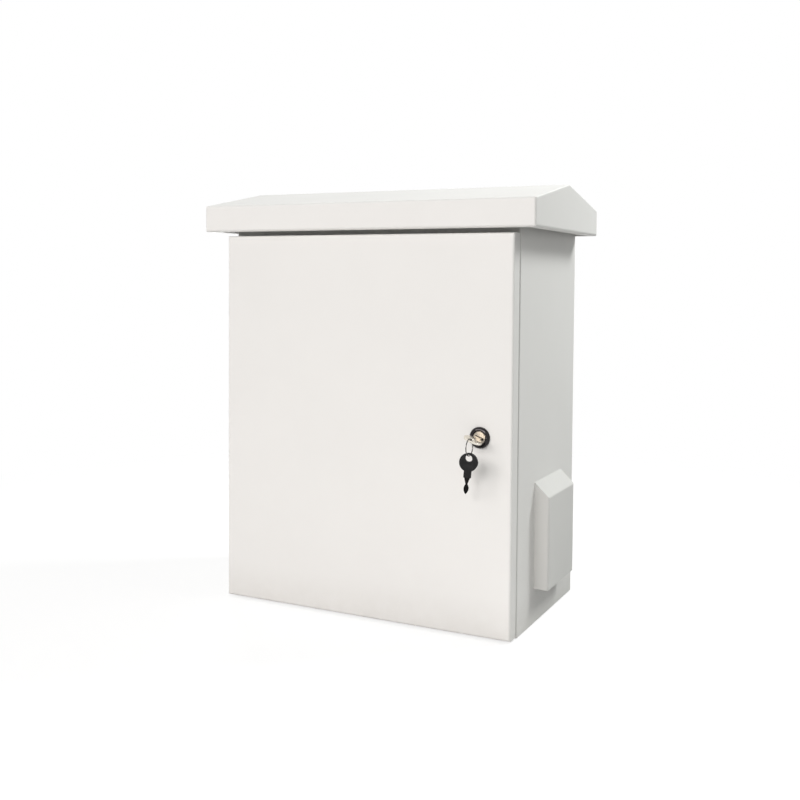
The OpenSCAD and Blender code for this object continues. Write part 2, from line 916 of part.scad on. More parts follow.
module earth_nut() {
    color(brass)
        at_body_earth()
            translate([0, 0, stud_flange_t])
                thread_nut(earth_d);
}

module door_earth_stud() {
    color(brass)
        at_door_earth()
            stud(door_earth_l, earth_d);
}

module door_earth_nut() {
    color(brass)
        at_door_earth()
            translate([0, 0, stud_flange_t])
                thread_nut(earth_d);
}

// Gooseneck strip from the front return to the knuckle, clear of the door's edge as it swings
module body_hinge_leaf(mid_z) {
    tall = hinge_h - 2 * leaf_t - 2 * hinge_play;
    arm_x = hinge_x + arm_reach;
    arm_y = hinge_y - knuckle_r + leaf_t / 2;
    seat_y = front_y - leaf_t / 2;
    color(zinc)
        plan_prism(mid_z - tall / 2, mid_z + tall / 2)
            difference() {
                union() {
                    folded_strip([
                        [-lip_x - sheet - bend_r, seat_y], [arm_x, seat_y], [arm_x, arm_y], [hinge_x, arm_y]
                    ], leaf_t, leaf_bend_r);
                    translate([hinge_x, hinge_y])
                        circle(knuckle_r);
                }
                translate([hinge_x, hinge_y])
                    circle(pin_d / 2 + pin_fit);
            }
}

// Channel on the inside of the door whose two ears carry the pin
module door_hinge_bracket(mid_z) {
    low = mid_z - hinge_h / 2;
    plate_end_x = -lip_x - half_t - seal_w / 2 - seal_gap;
    ear_x = hinge_x - knuckle_r;
    color(zinc)
        difference() {
            intersection() {
                union() {
                    translate([ear_x, door_inner_y, low])
                        cube([plate_end_x - ear_x, leaf_t, hinge_h]);
                    for (z = [low, low + hinge_h - leaf_t])
                        plan_prism(z, z + leaf_t) {
                            translate([ear_x, door_inner_y])
                                square([2 * knuckle_r, hinge_y - door_inner_y]);
                            translate([hinge_x, hinge_y])
                                circle(knuckle_r);
                        }
                }
                door_envelope(sheet);
            }
            translate([hinge_x, hinge_y, low - 1])
                cylinder(r = pin_d / 2 + ear_fit, h = hinge_h + 2);
        }
}

module hinge_pin(mid_z) {
    color(bright)
        translate([hinge_x, hinge_y, mid_z - hinge_h / 2 - pin_head_h]) {
            cylinder(d = pin_d, h = hinge_h + 2 * pin_head_h);
            translate([0, 0, hinge_h + pin_head_h])
                cylinder(r = (knuckle_r + pin_d / 2) / 2, h = pin_head_h);
        }
}

// Door pan envelope, inset by the sheet thickness for its inside
module door_envelope(inset) {
    r = fold_r - inset;
    rear = door_rear_y + (inset > 0 ? 1 : 0);
    intersection() {
        plan_prism(door_low + inset, door_high - inset)
            rounded_rect([-half_w + inset, door_front_y + inset], [half_w - inset, rear], [r, r, 0, 0]);
        side_prism(-half_w, half_w)
            rounded_rect([door_front_y + inset, door_low + inset], [rear, door_high - inset], [r, 0, 0, r]);
    }
}

module door_pan() {
    color(paint)
        difference() {
            door_envelope(0);
            door_envelope(sheet);
            at_lock()
                translate([0, 0, -1])
                    lock_barrel_form(barrel_r + nut_fit, barrel_flats + 2 * nut_fit, sheet + 2);
        }
}

module seal_outline(grow) {
    edge_x = lip_x + half_t + grow;
    rounded_rect([-edge_x, lip_low - half_t - grow], [edge_x, lip_high + half_t + grow],
        [for (i = [1:4]) seal_w / 2 + seal_r + grow]);
}

module door_seal() {
    color(rubber)
        front_prism(door_inner_y, door_inner_y + seal_t)
            difference() {
                seal_outline(seal_w / 2);
                seal_outline(-seal_w / 2);
            }
}

// Places children on the lock axis at the door's face: X right, Y down, Z into the cabinet
module at_lock() {
    translate([lock_x, door_front_y, lock_z])
        rotate([-90, 0, 0])
            children();
}

module lock_barrel_form(r, flats, length) {
    intersection() {
        cylinder(r = r, h = length);
        translate([-r, -flats / 2, 0])
            cube([2 * r, flats, length]);
    }
}

module lock_body() {
    bore_r = plug_r + plug_fit;
    barrel_l = cam_seat - barrel_gap;
    color(bright)
        at_lock()
            difference() {
                union() {
                    rotate_extrude()
                        rounded_rect([0, -bezel_h], [bezel_r, 0], [0, bezel_h * 0.6, 0, 0]);
                    lock_barrel_form(barrel_r, barrel_flats, barrel_l);
                }
                translate([0, 0, -bezel_h - 1])
                    cylinder(r = bore_r, h = bezel_h + barrel_l + 2);
            }
}

module lock_nut() {
    color(zinc)
        at_lock()
            translate([0, 0, sheet])
                rotate(30)
                    hex_nut(2 * (barrel_r + lock_nut_wall), lock_nut_h, barrel_r + nut_fit);
}

module lock_plug() {
    keyway_t = key_t + 2 * keyway_play;
    color(brass)
        at_lock()
            difference() {
                union() {
                    translate([0, 0, plug_face])
                        cylinder(r = plug_r, h = cam_seat - plug_face);
                    translate([-drive_w / 2, -drive_w / 2, cam_seat])
                        cube([drive_w, drive_w, cam_t]);
                }
                rotate(key_tilt)
                    translate([-keyway_w / 2, -keyway_t / 2, plug_face - 1])
                        cube([keyway_w, keyway_t, blade_l + 2]);
                translate([0, 0, cam_seat - cam_screw_in])
                    cylinder(r = cam_screw_d / 2 + nut_fit, h = cam_screw_in + cam_t + 1);
            }
}

// The cam points down while the lock is open, and swings to the right behind the return
module lock_cam() {
    hole_w = drive_w + 2 * drive_fit;
    color(zinc)
        at_lock()
            translate([0, 0, cam_seat])
                linear_extrude(cam_t)
                    difference() {
                        rounded_rect([-cam_w / 2, -cam_w / 2], [cam_w / 2, cam_l],
                            [cam_end_r, cam_end_r, cam_end_r, cam_end_r]);
                        square(hole_w, center = true);
                    }
}

module cam_screw() {
    color(bright)
        at_lock()
            translate([0, 0, cam_seat + cam_t]) {
                cylinder(d = drive_w * sqrt(2) + 1, h = washer_t);
                translate([0, 0, washer_t])
                    hex_bar(hex_share * cam_screw_d, cam_head_h);
                translate([0, 0, -cam_t - cam_screw_in])
                    cylinder(d = cam_screw_d, h = cam_t + cam_screw_in);
            }
}

// Key outlines, with the collar's end at Y 0 and the tip along +Y
module blade_outline(root) {
    arc_r = (leaf_l * leaf_l + leaf_w * leaf_w) / (4 * leaf_w);
    polygon([
        [-shoulder_w / 2, -root], [shoulder_w / 2, -root], [waist_w / 2, waist_at], [-waist_w / 2, waist_at]
    ]);
    translate([0, blade_l - leaf_l / 2])
        intersection() {
            translate([arc_r - leaf_w / 2, 0])
                circle(arc_r);
            translate([leaf_w / 2 - arc_r, 0])
                circle(arc_r);
        }
}

module bow_outline(r) {
    difference() {
        union() {
            translate([0, bow_mid(r)])
                circle(r);
            translate([-collar_w / 2, -collar_l])
                square([collar_w, collar_l]);
        }
        translate([0, hole_mid(r)])
            circle(bow_hole_r);
    }
}

module lock_key() {
    color(brass)
        at_lock()
            rotate(key_tilt)
                translate([0, key_t / 2, key_stop])
                    rotate([90, 0, 0])
                        linear_extrude(key_t) {
                            bow_outline(bow_r);
                            blade_outline(bow_join);
                        }
}

module key_ring() {
    color(bright)
        translate([ring_x, ring_y, ring_z])
            rotate([0, 90, 0])
                rotate_extrude()
                    translate([ring_r, 0])
                        circle(wire_r);
}

// Places children on the hanging spare key: X across it, Y down towards its tip
module at_spare_key() {
    translate([ring_x, ring_y, ring_z - ring_r])
        rotate([0, spare_lean, spare_turn])
            rotate([-90, 0, 0])
                translate([0, spare_hang - hole_mid(head_r), 0])
                    children();
}

module tang() {
    translate([-tang_w / 2, -tang_l, -key_t / 2])
        cube([tang_w, tang_l + waist_at / 8, key_t]);
}

module spare_key_blade() {
    color(steel)
        at_spare_key() {
            linear_extrude(key_t, center = true)
                blade_outline(0);
            tang();
        }
}

module spare_key_head() {
    color(rubber)
        at_spare_key()
            difference() {
                linear_extrude(head_t, center = true)
                    bow_outline(head_r);
                tang();
                for (side = [-1, 1])
                    translate([-field_w / 2, bow_mid(head_r), side * head_t / 2 - field_d])
                        cube([field_w, field_h, 2 * field_d]);
            }
}

body_wrap();
top_panel();
base_panel();
roof_cap();
roof_bracket(-1);  // roof_bracket_left
roof_bracket(1);  // roof_bracket_right
roof_bolts();
roof_nuts();
vent_hood(-1);  // vent_hood_left
vent_hood(1);  // vent_hood_right
vent_screen(-1);  // vent_screen_left
vent_screen(1);  // vent_screen_right
vent_rivets();
mounting_plate();
plate_studs();
plate_nuts();
entry_plate();
entry_seal();
entry_screws();
cable_grommet(-1);  // cable_grommet_left
cable_grommet(0);  // cable_grommet_middle
cable_grommet(1);  // cable_grommet_right
earth_stud();
earth_nut();
body_hinge_leaf(hinge_high);  // body_hinge_leaf_upper
body_hinge_leaf(hinge_low);  // body_hinge_leaf_lower
door_pan();
door_seal();
door_hinge_bracket(hinge_high);  // door_hinge_bracket_upper
door_hinge_bracket(hinge_low);  // door_hinge_bracket_lower
hinge_pin(hinge_high);  // hinge_pin_upper
hinge_pin(hinge_low);  // hinge_pin_lower
door_earth_stud();
door_earth_nut();
lock_body();
lock_nut();
lock_plug();
lock_cam();
cam_screw();
lock_key();
key_ring();
spare_key_blade();
spare_key_head();
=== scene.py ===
import json
import math
import bmesh
import bpy
from mathutils import Matrix, Vector

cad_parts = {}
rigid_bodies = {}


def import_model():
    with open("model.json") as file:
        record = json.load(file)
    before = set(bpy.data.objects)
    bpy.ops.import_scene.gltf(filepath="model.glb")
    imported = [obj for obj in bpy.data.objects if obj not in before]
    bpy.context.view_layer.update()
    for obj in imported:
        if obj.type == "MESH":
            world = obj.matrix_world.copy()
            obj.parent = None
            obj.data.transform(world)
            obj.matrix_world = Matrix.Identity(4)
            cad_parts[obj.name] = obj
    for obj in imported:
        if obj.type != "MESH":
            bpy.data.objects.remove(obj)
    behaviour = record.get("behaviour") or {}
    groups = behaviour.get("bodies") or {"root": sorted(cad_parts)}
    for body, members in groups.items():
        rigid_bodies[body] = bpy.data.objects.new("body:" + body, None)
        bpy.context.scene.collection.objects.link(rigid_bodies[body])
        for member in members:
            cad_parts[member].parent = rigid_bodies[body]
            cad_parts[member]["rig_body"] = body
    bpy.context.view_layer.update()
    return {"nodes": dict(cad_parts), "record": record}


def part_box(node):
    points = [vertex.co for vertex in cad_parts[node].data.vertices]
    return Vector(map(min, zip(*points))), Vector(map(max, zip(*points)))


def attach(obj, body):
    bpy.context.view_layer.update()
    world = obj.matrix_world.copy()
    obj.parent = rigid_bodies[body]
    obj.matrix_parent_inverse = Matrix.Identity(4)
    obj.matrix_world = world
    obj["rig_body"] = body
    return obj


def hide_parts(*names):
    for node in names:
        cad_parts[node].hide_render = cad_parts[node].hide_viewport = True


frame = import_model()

nodes = frame["nodes"]
slotOf = {entry["node"]: entry["material_slot"] for entry in frame["record"]["subparts"]}
scene = bpy.context.scene
scene.view_settings.view_transform = "Standard"
quarterTurn = math.pi / 2
mergeGap = 1e-6  # points closer than this become one
print("frame loaded:", len(nodes), "pieces")


def addObject(name, data):
    made = bpy.data.objects.new(name, data)
    scene.collection.objects.link(made)
    return made


cameraSpot = {
    "place": (0.6033, -1.2075, 0.4203),
    "ahead": (-0.4303, 0.9018, -0.0398),
    "right": (0.9026, 0.4304, 0.0082),
    "lens": 45.15,
    "sensor": 36.0,
    "shift": (-0.0319, -0.0986),  # the photograph is cropped off its lens axis
    "clip": (0.01, 50.0),
}


def makeCamera(spot):
    data = bpy.data.cameras.new("photoCamera")
    data.sensor_width, data.lens = spot["sensor"], spot["lens"]
    data.shift_x, data.shift_y = spot["shift"]
    data.clip_start, data.clip_end = spot["clip"]
    cam = addObject("photoCamera", data)
    back = -Vector(spot["ahead"]).normalized()
    right = Vector(spot["right"])
    right = (right - back * right.dot(back)).normalized()
    up = back.cross(right)
    turn = Matrix((right, up, back)).transposed().to_4x4()
    cam.matrix_world = Matrix.Translation(spot["place"]) @ turn
    scene.camera = cam


makeCamera(cameraSpot)
print("camera placed")


def addNode(tree, kind, **values):
    made = tree.nodes.new(kind)
    for key, value in values.items():
        if hasattr(made, key):
            setattr(made, key, value)
        else:
            made.inputs[key.replace("_", " ")].default_value = value
    return made


def wire(tree, start, end):
    tree.links.new(start, end)


def mathNode(tree, how, first, second, clamp=False):
    made = addNode(tree, "ShaderNodeMath", operation=how, use_clamp=clamp)
    for socket, value in zip(made.inputs, (first, second)):
        if isinstance(value, (int, float)):
            socket.default_value = value
        else:
            wire(tree, value, socket)
    return made.outputs[0]


def mapRange(tree, source, **span):
    made = addNode(tree, "ShaderNodeMapRange", **span)
    wire(tree, source, made.inputs["Value"])
    return made.outputs[0]


def objectPlace(tree):
    return tree.nodes.new("ShaderNodeTexCoord").outputs["Object"]


def alongAxis(tree, place, axis):
    split = tree.nodes.new("ShaderNodeSeparateXYZ")
    wire(tree, place, split.inputs[0])
    return split.outputs[axis]


def addNoise(tree, place, scale, detail, rough):
    made = addNode(tree, "ShaderNodeTexNoise", Detail=detail, Roughness=rough)
    wire(tree, place, made.inputs["Vector"])
    wire(tree, scale, made.inputs["Scale"])
    return made.outputs["Fac"]


def newGroup(name, inputs, outputs):
    group = bpy.data.node_groups.new(name, "ShaderNodeTree")
    for label, value in inputs.items():
        kind = "NodeSocketVector" if isinstance(value, tuple) else "NodeSocketFloat"
        socket = group.interface.new_socket(name=label, in_out="INPUT", socket_type=kind)
        socket.default_value = value
    for label in outputs:
        group.interface.new_socket(name=label, in_out="OUTPUT", socket_type="NodeSocketFloat")
    return group, group.nodes.new("NodeGroupInput"), group.nodes.new("NodeGroupOutput")


def makeGrain():  # fine skin of a surface: a height for the bump and a mottle mask
    group, gin, gout = newGroup("skinGrain", {"Fine": 900.0, "Broad": 14.0}, ["Height", "Mottle"])
    place = objectPlace(group)
    height = addNoise(group, place, gin.outputs["Fine"], detail=3.0, rough=0.55)
    mottle = addNoise(group, place, gin.outputs["Broad"], detail=4.0, rough=0.6)
    wire(group, height, gout.inputs["Height"])
    wire(group, mottle, gout.inputs["Mottle"])
    return group


def makeLowTone():  # darkens a surface towards the bottom, in patches
    group, gin, gout = newGroup("darkerLow", {"Reach": 0.08, "Scale": 45.0, "Amount": 0.3}, ["Mask"])
    place = objectPlace(group)
    fall = mathNode(group, "DIVIDE", alongAxis(group, place, "Z"), gin.outputs["Reach"])
    near = mathNode(group, "SUBTRACT", 1.0, fall, clamp=True)
    specks = addNoise(group, place, gin.outputs["Scale"], detail=6.0, rough=0.65)
    patchy = mathNode(group, "MULTIPLY", near, specks)
    mask = mathNode(group, "MULTIPLY", patchy, gin.outputs["Amount"], clamp=True)
    wire(group, mask, gout.inputs["Mask"])
    return group


def makeScuff():  # thin rubbed lines on metal and plastic
    sizes = {"Scale": 300.0, "Stretch": (1.0, 1.0, 12.0), "Amount": 0.5}
    group, gin, gout = newGroup("rubLines", sizes, ["Mask"])
    scaled = addNode(group, "ShaderNodeVectorMath", operation="MULTIPLY")
    wire(group, objectPlace(group), scaled.inputs[0])
    wire(group, gin.outputs["Stretch"], scaled.inputs[1])
    lines = addNoise(group, scaled.outputs[0], gin.outputs["Scale"], detail=2.0, rough=0.5)
    sharp = mapRange(group, lines, From_Min=0.52, From_Max=0.72)
    mask = mathNode(group, "MULTIPLY", sharp, gin.outputs["Amount"], clamp=True)
    wire(group, mask, gout.inputs["Mask"])
    return group


grainGroup, lowToneGroup, scuffGroup = makeGrain(), makeLowTone(), makeScuff()
print("wear groups made")


def useGroup(tree, group, **values):
    made = tree.nodes.new("ShaderNodeGroup")
    made.node_tree = group
    for key, value in values.items():
        made.inputs[key].default_value = value
    return made


def blendColour(tree, mask, first, second):
    made = addNode(tree, "ShaderNodeMix", data_type="RGBA")
    wire(tree, mask, made.inputs["Factor"])
    for socket, value in ((made.inputs[6], first), (made.inputs[7], second)):  # its two colour sockets
        if isinstance(value, tuple):
            socket.default_value = (*value, 1.0)
        else:
            wire(tree, value, socket)
    return made.outputs[2]


def newFinish(name, **shaderValues):
    made = bpy.data.materials.new(name)
    made.use_nodes = True
    tree = made.node_tree
    shader = tree.nodes["Principled BSDF"]
    for key, value in shaderValues.items():
        shader.inputs[key.replace("_", " ")].default_value = value
    return made, tree, shader


def addSkin(tree, shader, look):  # gives a finish its grain and bump, and hands on the mottle
    fine, broad = look["grain"]
    depth, strength = look["bump"]
    skin = useGroup(tree, grainGroup, Fine=fine, Broad=broad)
    bump = addNode(tree, "ShaderNodeBump", Strength=strength, Distance=depth)
    wire(tree, skin.outputs["Height"], bump.inputs["Height"])
    wire(tree, bump.outputs[0], shader.inputs["Normal"])
    return skin.outputs["Mottle"]


def addRub(tree, look):  # rub lines of the look's own scale, stretch and amount
    rub = useGroup(tree, scuffGroup, Scale=look["lines"], Stretch=look["stretch"], Amount=look["worn"])
    return rub.outputs["Mask"]


def setRough(tree, shader, source, look):
    low, high = look["rough"]
    wire(tree, mapRange(tree, source, To_Min=low, To_Max=high), shader.inputs["Roughness"])


coatLook = {
    "name": "paleCoat",
    "colour": (0.830, 0.824, 0.802),
    "shade": (0.798, 0.792, 0.770),
    "lowTone": (0.50, 0.46, 0.40),
    "lowToneSpread": {"Reach": 0.05, "Scale": 60.0, "Amount": 0.30},
    "ior": 1.5,
    "rough": (0.48, 0.60),
    "grain": (1100.0, 9.0),  # fine and broad scale, here and in the other finishes
    "bump": (0.00006, 0.5),  # depth and strength, likewise
}
shadedHoodLook = {
    **coatLook,
    "name": "hoodCoat",
    "colour": (0.715, 0.712, 0.690),  # painted shade: a darker copy of the coat that stands in for the weaker light on the hoods
    "shade": (0.688, 0.684, 0.662),
    "lowTone": (0.46, 0.42, 0.37),
}


def makeCoat(look):  # pale powder coat with a fine orange-peel skin
    finish, tree, shader = newFinish(look["name"], IOR=look["ior"])
    mottle = addSkin(tree, shader, look)
    # the coat turns darker towards the bottom, in patches
    lowTone = useGroup(tree, lowToneGroup, **look["lowToneSpread"])
    tone = blendColour(tree, mottle, look["colour"], look["shade"])
    wire(tree, blendColour(tree, lowTone.outputs["Mask"], tone, look["lowTone"]), shader.inputs["Base Color"])
    setRough(tree, shader, mottle, look)
    return finish


zincLook = {
    "light": (0.62, 0.63, 0.64),
    "dark": (0.42, 0.43, 0.45),
    "cell": 130.0,
    "metallic": 0.92,
    "rough": (0.32, 0.52),
    "grain": (700.0, 60.0),
    "bump": (0.00003, 0.4),
}


def makeZinc(look):  # galvanised sheet: flat crystals of slightly different greys
    finish, tree, shader = newFinish("zincSheet", Metallic=look["metallic"])
    cells = addNode(tree, "ShaderNodeTexVoronoi", feature="F1", Scale=look["cell"], Randomness=1.0)
    wire(tree, objectPlace(tree), cells.inputs["Vector"])
    grey = tree.nodes.new("ShaderNodeSeparateColor")
    wire(tree, cells.outputs["Color"], grey.inputs[0])
    tone = blendColour(tree, grey.outputs[0], look["light"], look["dark"])
    wire(tree, tone, shader.inputs["Base Color"])
    setRough(tree, shader, grey.outputs[1], look)
    addSkin(tree, shader, look)
    return finish


# how a metal is worn: scale, stretch and amount of its rub lines, with the grain under them
drawnWear = {
    "lines": 420.0, "stretch": (1.0, 1.0, 6.0), "worn": 0.8,
    "grain": (1680.0, 126.0), "bump": (0.00002, 0.3),
}
coiledWear = {**drawnWear, "stretch": (1.0, 6.0, 1.0)}
platedWear = {**drawnWear, "lines": 260.0, "stretch": (1.0, 1.0, 1.0), "grain": (1040.0, 78.0)}
handledWear = {
    **drawnWear, "lines": 520.0, "stretch": (5.0, 1.0, 1.0), "worn": 0.35,
    "grain": (2080.0, 156.0),
}
steelLook = {
    **drawnWear, "name": "brightSteel", "rough": (0.18, 0.36),
    "light": (0.66, 0.66, 0.67), "dark": (0.45, 0.45, 0.46),
}
# near-black steel for the spare key's blade: painted dark reflection of the surroundings on the metal
steelDarkReflectionLook = {
    **drawnWear, "name": "darkSteel", "rough": (0.34, 0.52),
    "light": (0.016, 0.0155, 0.015), "dark": (0.007, 0.007, 0.007),
}
# steel wire written dark grey: painted dark reflection of the surroundings on the thin wire
ringWireLook = {
    **coiledWear, "name": "ringWire", "rough": (0.18, 0.34),
    "light": (0.22, 0.215, 0.21), "dark": (0.09, 0.088, 0.085),
}
# chrome written near black: painted dark reflection of the surroundings, since the studio reflects white
chromeLook = {
    **platedWear, "name": "darkChrome", "rough": (0.04, 0.10),
    "light": (0.048, 0.045, 0.045), "dark": (0.026, 0.024, 0.024),
}
brassLook = {
    **handledWear, "name": "paleBrass", "rough": (0.30, 0.44),
    "light": (0.72, 0.66, 0.53), "dark": (0.60, 0.54, 0.42),
}
plugLook = {
    **handledWear, "name": "plugBrass", "rough": (0.40, 0.54),
    "light": (0.38, 0.342, 0.285), "dark": (0.305, 0.272, 0.226),
}
keyLook = {
    **handledWear, "name": "keyNickel", "rough": (0.26, 0.42), "grain": (2000.0, 150.0),
    "light": (0.86, 0.82, 0.74), "dark": (0.70, 0.66, 0.58),
    "slotShade": (0.05, 0.038, 0.026),
    "slotShadeFrom": (-0.1362, -0.1336),  # painted shade on the collar, where the key meets the plug, standing in for the dark keyway slot
    "slotShadeTo": (-0.1305, -0.1316),
}


def slotShadeMask(tree, look):  # a soft-edged band along Y, for the painted shade
    depth = alongAxis(tree, objectPlace(tree), "Y")
    bands = (look["slotShadeFrom"], look["slotShadeTo"])
    edges = [mapRange(tree, depth, From_Min=clearEdge, From_Max=shadedEdge) for clearEdge, shadedEdge in bands]
    return mathNode(tree, "MULTIPLY", *edges)


def makeMetal(look):  # drawn or plated metal with rub lines, and painted shade where its look has it
    finish, tree, shader = newFinish(look["name"], Metallic=1.0)
    rub = addRub(tree, look)
    tone = blendColour(tree, addSkin(tree, shader, look), look["light"], look["dark"])
    tone = blendColour(tree, rub, tone, look["dark"])
    # painted shade: a dark band on the key where it enters the plug
    if "slotShade" in look:
        tone = blendColour(tree, slotShadeMask(tree, look), tone, look["slotShade"])
    wire(tree, tone, shader.inputs["Base Color"])
    setRough(tree, shader, rub, look)
    return finish


rubberLook = {
    "colour": (0.018, 0.018, 0.019),
    "dust": (0.055, 0.053, 0.05),
    "ior": 1.48,
    "rough": (0.62, 0.85),
    "grain": (1500.0, 80.0),
    "bump": (0.0001, 0.5),
}


def makeRubber(look):
    finish, tree, shader = newFinish("blackRubber", IOR=look["ior"])
    mottle = addSkin(tree, shader, look)
    wire(tree, blendColour(tree, mottle, look["colour"], look["dust"]), shader.inputs["Base Color"])
    setRough(tree, shader, mottle, look)
    return finish


mouldLook = {
    "colour": (0.006, 0.006, 0.0065),
    "rubbed": (0.032, 0.031, 0.031),
    "lines": 900.0,
    "stretch": (3.0, 1.0, 0.6),
    "worn": 0.5,
    "ior": 1.5,
    "specular": 0.2,
    "rough": (0.42, 0.60),
    "grain": (2600.0, 220.0),
    "bump": (0.00003, 0.5),
}


def makeMould(look):  # black moulded plastic of the key head
    finish, tree, shader = newFinish("blackMould", IOR=look["ior"], Specular_IOR_Level=look["specular"])
    tone = blendColour(tree, addRub(tree, look), look["colour"], look["rubbed"])
    wire(tree, tone, shader.inputs["Base Color"])
    setRough(tree, shader, addSkin(tree, shader, look), look)
    return finish


finishes = {
    "coat": makeCoat(coatLook),
    "hoodCoat": makeCoat(shadedHoodLook),
    "zinc": makeZinc(zincLook),
    "steel": makeMetal(steelLook),
    "darkSteel": makeMetal(steelDarkReflectionLook),
    "ringWire": makeMetal(ringWireLook),
    "chrome": makeMetal(chromeLook),
    "brass": makeMetal(brassLook),
    "plugBrass": makeMetal(plugLook),
    "keyNickel": makeMetal(keyLook),
    "rubber": makeRubber(rubberLook),
    "mould": makeMould(mouldLook),
}
slotFinish = {
    "powder_coat": "coat", "zinc_steel": "zinc", "bright_steel": "steel", "black_steel": "darkSteel",
    "rubber": "rubber", "lock_chrome": "chrome", "lock_brass": "brass", "key_plastic": "mould",
}
nodeFinish = {  # where a piece differs from its slot
    "vent_hood_left": "hoodCoat", "vent_hood_right": "hoodCoat",
    "lock_plug": "plugBrass", "lock_key": "keyNickel",
}
for name, slot in slotOf.items():
    piece = nodes[name]
    piece.data.materials.clear()
    piece.data.materials.append(finishes[nodeFinish.get(name, slotFinish[slot])])
print("finishes made:", len(finishes))


def meshFrom(name, shape):  # the mesh of a finished bmesh
    mesh = bpy.data.meshes.new(name)
    shape.to_mesh(mesh)
    shape.free()
    return mesh


def freezeMesh(holder):  # what an object's modifiers make of it, as a plain mesh
    view = bpy.context.evaluated_depsgraph_get()
    done = bpy.data.meshes.new_from_object(holder.evaluated_get(view), depsgraph=view)
    holder.modifiers.clear()
    return done


def smoothFaces(mesh):
    for face in mesh.polygons:
        face.use_smooth = True


def nodeMiddle(name):
    low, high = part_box(name)
    return (low + high) / 2


def geometryTree(name, inputs):
    tree = bpy.data.node_groups.new(name, "GeometryNodeTree")
    tree.interface.new_socket(name="Geometry", in_out="INPUT", socket_type="NodeSocketGeometry")
    for label, kind in inputs.items():
        tree.interface.new_socket(name=label, in_out="INPUT", socket_type="NodeSocket" + kind)
    tree.interface.new_socket(name="Finish", in_out="INPUT", socket_type="NodeSocketMaterial")
    tree.interface.new_socket(name="Geometry", in_out="OUTPUT", socket_type="NodeSocketGeometry")
    return tree, tree.nodes.new("NodeGroupInput"), tree.nodes.new("NodeGroupOutput")


def endTree(tree, gin, gout, shape):  # every tree ends with real faces and its finish
    realize = tree.nodes.new("GeometryNodeRealizeInstances")
    dress = tree.nodes.new("GeometryNodeSetMaterial")
    wire(tree, shape, realize.inputs[0])
    wire(tree, realize.outputs[0], dress.inputs["Geometry"])
    wire(tree, gin.outputs["Finish"], dress.inputs["Material"])
    wire(tree, dress.outputs[0], gout.inputs[0])
    return tree


def growPiece(name, tree, values, points):  # runs a tree and keeps its result as a plain mesh
    mesh = bpy.data.meshes.new(name + "Points")
    mesh.from_pydata(points, [], [])
    holder = addObject(name + "Holder", mesh)
    modifier = holder.modifiers.new("grow", "NODES")
    modifier.node_group = tree
    for item in tree.interface.items_tree:
        if item.item_type == "SOCKET" and item.in_out == "INPUT" and item.name in values:
            modifier[item.identifier] = values[item.name]
    made = freezeMesh(holder)
    bpy.data.objects.remove(holder)
    bpy.data.meshes.remove(mesh)
    made.name = name
    return addObject(name, made)


def sweepCoil(tree, gin, turns, section, steps):  # a section drawn along a coil of even radius
    coil = addNode(tree, "GeometryNodeCurveSpiral", Resolution=steps)
    for label in ("Start Radius", "End Radius"):
        wire(tree, gin.outputs["Radius"], coil.inputs[label])
    wire(tree, gin.outputs["Rise"], coil.inputs["Height"])
    wire(tree, turns, coil.inputs["Rotations"])
    sweep = addNode(tree, "GeometryNodeCurveToMesh", Fill_Caps=True)
    wire(tree, coil.outputs[0], sweep.inputs["Curve"])
    wire(tree, section, sweep.inputs["Profile Curve"])
    return sweep.outputs[0]


def copyOnPoints(tree, gin, shape):  # the shape on each of the holder's points, all facing one way
    spots = tree.nodes.new("GeometryNodeMeshToPoints")
    wire(tree, gin.outputs["Geometry"], spots.inputs["Mesh"])
    copies = tree.nodes.new("GeometryNodeInstanceOnPoints")
    wire(tree, spots.outputs[0], copies.inputs["Points"])
    wire(tree, shape, copies.inputs["Instance"])
    wire(tree, gin.outputs["Turn"], copies.inputs["Rotation"])
    return copies


ringLook = {
    "Radius": 0.0096,
    "Wire width": 0.0013,
    "Wire thickness": 0.00062,
    "Edge": 0.0002,
    "Rise": 0.00068,
    "Turns": 1.93,
    "turnSteps": 64,
    "edgeSteps": 2,
}


def splitRingTree(look):  # flat wire wound nearly twice round
    tree, gin, gout = geometryTree("splitRing", {
        "Radius": "Float", "Wire width": "Float", "Wire thickness": "Float", "Edge": "Float",
        "Rise": "Float", "Turns": "Float", "Place": "Vector",
    })
    section = tree.nodes.new("GeometryNodeCurvePrimitiveQuadrilateral")
    wire(tree, gin.outputs["Wire width"], section.inputs["Width"])
    wire(tree, gin.outputs["Wire thickness"], section.inputs["Height"])
    soften = addNode(tree, "GeometryNodeFilletCurve", mode="POLY", Count=look["edgeSteps"])
    wire(tree, section.outputs[0], soften.inputs["Curve"])
    wire(tree, gin.outputs["Edge"], soften.inputs["Radius"])
    sweep = sweepCoil(tree, gin, gin.outputs["Turns"], soften.outputs[0], look["turnSteps"])
    lift = tree.nodes.new("ShaderNodeCombineXYZ")
    wire(tree, mathNode(tree, "MULTIPLY", gin.outputs["Rise"], -0.5), lift.inputs["Z"])  # to its middle
    centre = tree.nodes.new("GeometryNodeTransform")
    wire(tree, sweep, centre.inputs["Geometry"])
    wire(tree, lift.outputs[0], centre.inputs["Translation"])
    stand = addNode(tree, "GeometryNodeTransform", Rotation=(0, quarterTurn, 0))
    wire(tree, centre.outputs[0], stand.inputs["Geometry"])
    wire(tree, gin.outputs["Place"], stand.inputs["Translation"])
    return endTree(tree, gin, gout, stand.outputs[0])


ring = growPiece("keyRingCoil", splitRingTree(ringLook), {
    **ringLook, "Place": tuple(nodeMiddle("key_ring")), "Finish": finishes["ringWire"],
}, [(0, 0, 0)])
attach(ring, "ring")
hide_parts("key_ring")
print("key ring:", len(ring.data.polygons), "faces")


threadLook = {"Pitch": 0.00125, "Depth": 0.00032, "turnSteps": 20, "sides": 4}
plateThread = {"radius": 0.004, "length": 0.0018, "tip": 0.0002, "collar": 0.006}
earthThread = {"radius": 0.003, "length": 0.0113, "tip": 0.0002}
doorThread = {"radius": 0.003, "length": 0.0063, "tip": 0.0002}


